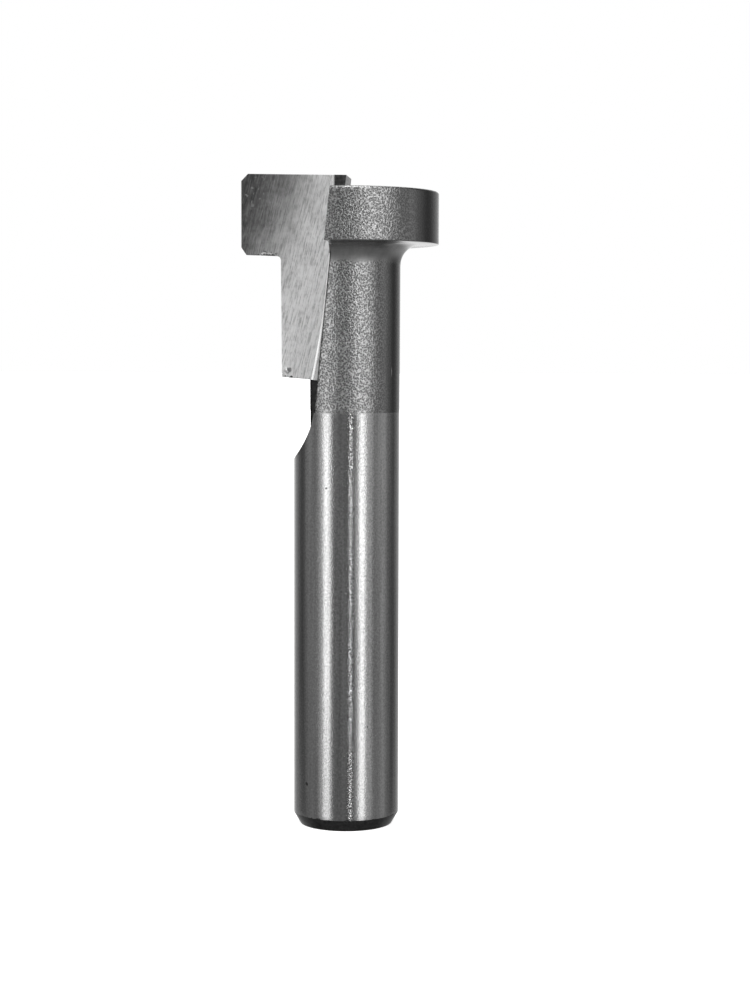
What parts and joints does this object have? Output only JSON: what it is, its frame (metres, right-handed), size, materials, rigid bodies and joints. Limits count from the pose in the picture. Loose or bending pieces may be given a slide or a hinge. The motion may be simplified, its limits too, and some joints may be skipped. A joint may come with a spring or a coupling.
{
  "type": "t-slot router bit",
  "caption": "Single-flute T-slot router bit: a straight round shank, a sandblasted neck and a round head with a T-shaped carbide plate brazed in its pocket.",
  "frame": {"origin": "centre of the shank's flat end", "axes": "+Z along the shank towards the cutting head; the plate's cutting face lies in the XZ plane, faces -Y and reaches towards -X"},
  "size_m": [0.012, 0.011, 0.0392],
  "materials": {
    "tool_steel": "ground shank, sandblasted neck and head",
    "carbide": "ground tungsten carbide",
    "silver_braze": "smooth silver braze"
  },
  "bodies": {
    "root": {"steel_body": "tool_steel", "carbide_tip": "carbide", "braze_layer": "silver_braze"}
  },
  "joints": []
}
